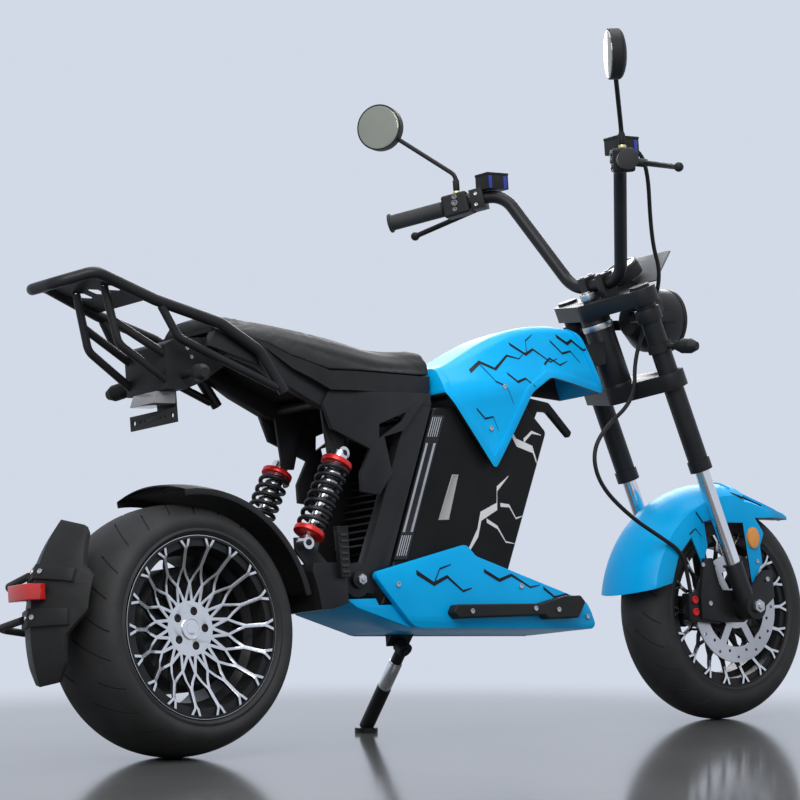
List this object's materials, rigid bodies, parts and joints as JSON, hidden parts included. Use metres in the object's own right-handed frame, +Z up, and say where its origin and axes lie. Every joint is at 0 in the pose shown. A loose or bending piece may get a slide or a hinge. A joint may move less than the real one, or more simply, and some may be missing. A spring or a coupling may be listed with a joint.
{
  "type": "electric motor scooter",
  "caption": "Fat-tyred electric motor scooter with a high swept handlebar, mesh-spoked wheels, single-sided swingarm and rear rack, leaning on its side stand.",
  "frame": {"origin": "centre of the bounding box on the floor, parked", "axes": "+X forward along the scooter, +Y to its left, +Z up"},
  "size_m": [2.0483, 0.9321, 1.4403],
  "materials": {
    "blue_paint": "gloss",
    "black_frame": "satin",
    "black_plastic": "matt",
    "battery_shell": "satin",
    "tyre_rubber": "matt",
    "grip_rubber": "matt",
    "seat_leather": "satin",
    "chrome_tube": "mirror polish",
    "steel": "brushed",
    "machined_alloy": "machined",
    "black_alloy": "anodised",
    "spring_steel": "gloss",
    "red_anodised": "anodised",
    "red_lens": "gloss",
    "lamp_glass": "gloss",
    "smoke_plastic": "gloss"
  },
  "bodies": {
    "chassis": {"battery_case": "battery_shell", "battery_latch": "battery_shell", "belly_panels": "blue_paint", "belly_tray": "black_frame", "controller_heat_sink": "black_alloy", "foot_pads": "black_plastic", "main_frame": "black_frame", "pivot_bolt": "steel", "rear_axle": "steel", "rear_caliper": "black_frame", "rear_hugger": "black_plastic", "rear_indicators": "black_plastic", "rear_mudguard": "black_plastic", "rear_reflector": "red_lens", "seat_base": "black_plastic", "seat_cushion": "seat_leather", "seat_subframe": "black_frame", "shock_collars": "red_anodised", "shock_dampers": "machined_alloy", "shock_springs": "spring_steel", "stand_bracket": "black_frame", "swingarm": "black_frame", "tail_housing": "black_plastic", "tail_lamp": "lamp_glass", "tail_rack": "black_frame", "tank_cover": "blue_paint"},
    "rear_wheel": {"rear_tyre": "tyre_rubber", "rear_rim_barrel": "black_frame", "rear_wheel_spokes": "machined_alloy", "rear_hub_motor": "black_frame", "rear_brake_disc": "steel"},
    "steering": {"brake_hose": "black_plastic", "brake_levers": "black_plastic", "fender_brackets": "black_frame", "fork_feet": "black_frame", "fork_shrouds": "black_frame", "fork_stanchions": "chrome_tube", "front_axle": "steel", "front_caliper": "black_frame", "front_fender": "blue_paint", "front_indicators": "black_plastic", "grips": "grip_rubber", "handlebar": "black_frame", "headlight_bracket": "black_frame", "headlight_bucket": "black_frame", "headlight_lens": "lamp_glass", "instrument_pod": "black_plastic", "mirrors": "black_plastic", "steering_stem": "black_frame", "switch_pods": "black_plastic", "upper_clamp": "black_frame", "visor": "smoke_plastic"},
    "front_wheel": {"front_tyre": "tyre_rubber", "front_rim_barrel": "black_frame", "front_wheel_spokes": "machined_alloy", "front_brake_disc": "steel"},
    "stand": {"side_stand": "black_frame"}
  },
  "joints": [
    {"name": "rear_wheel_spin", "type": "hinge", "parent": "chassis", "child": "rear_wheel", "pos_m": [-0.6822, -0.11546, 0.23787], "axis": [0, 0.9936, -0.1132], "continuous": true},
    {"name": "steering_turn", "type": "hinge", "parent": "chassis", "child": "steering", "pos_m": [0.52234, -0.0494, 0.81762], "axis": [-0.342, 0.1064, 0.9337], "range_deg": [-31, 39]},
    {"name": "front_wheel_spin", "type": "hinge", "parent": "steering", "child": "front_wheel", "pos_m": [0.78569, -0.11879, 0.23821], "axis": [0.0656, 0.9939, -0.0892], "continuous": true},
    {"name": "side_stand_fold", "type": "hinge", "parent": "chassis", "child": "stand", "pos_m": [-0.0482, -0.04141, 0.18112], "axis": [0, 0.8117, 0.5841], "range_deg": [0, 93.1]}
  ]
}
